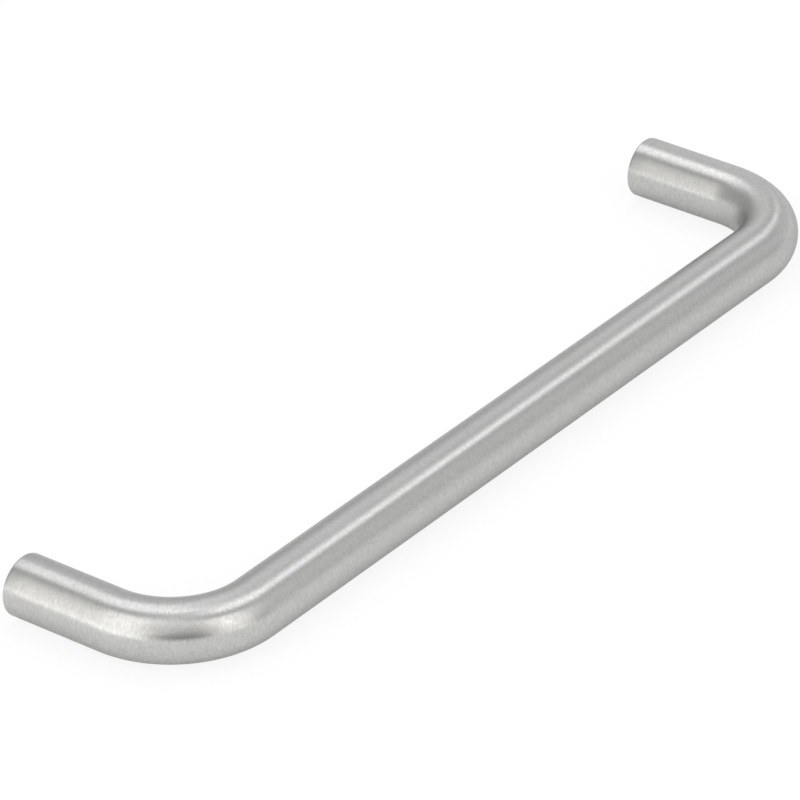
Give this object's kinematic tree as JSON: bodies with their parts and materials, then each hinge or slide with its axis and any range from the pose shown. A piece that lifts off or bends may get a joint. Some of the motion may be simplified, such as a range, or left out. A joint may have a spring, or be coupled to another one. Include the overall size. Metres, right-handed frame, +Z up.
{
  "type": "u-shaped cabinet handle",
  "caption": "U-shaped cabinet handle: a round satin steel bar bent twice, its feet drilled and tapped to be screwed to a door or drawer front from behind.",
  "frame": {"origin": "middle of the handle seen from above, at the height of its underside, so that it lies on its side on z = 0", "axes": "+X along the bar, +Y from the bar towards the furniture that the feet are screwed to, +Z up when the handle is fitted with its bar level"},
  "size_m": [0.17, 0.037, 0.01],
  "materials": {
    "satin_stainless_steel": "satin stainless steel, ground along the bar and lightly matted, with bare machined end faces"
  },
  "bodies": {
    "root": {"handle": "satin_stainless_steel"}
  },
  "joints": []
}
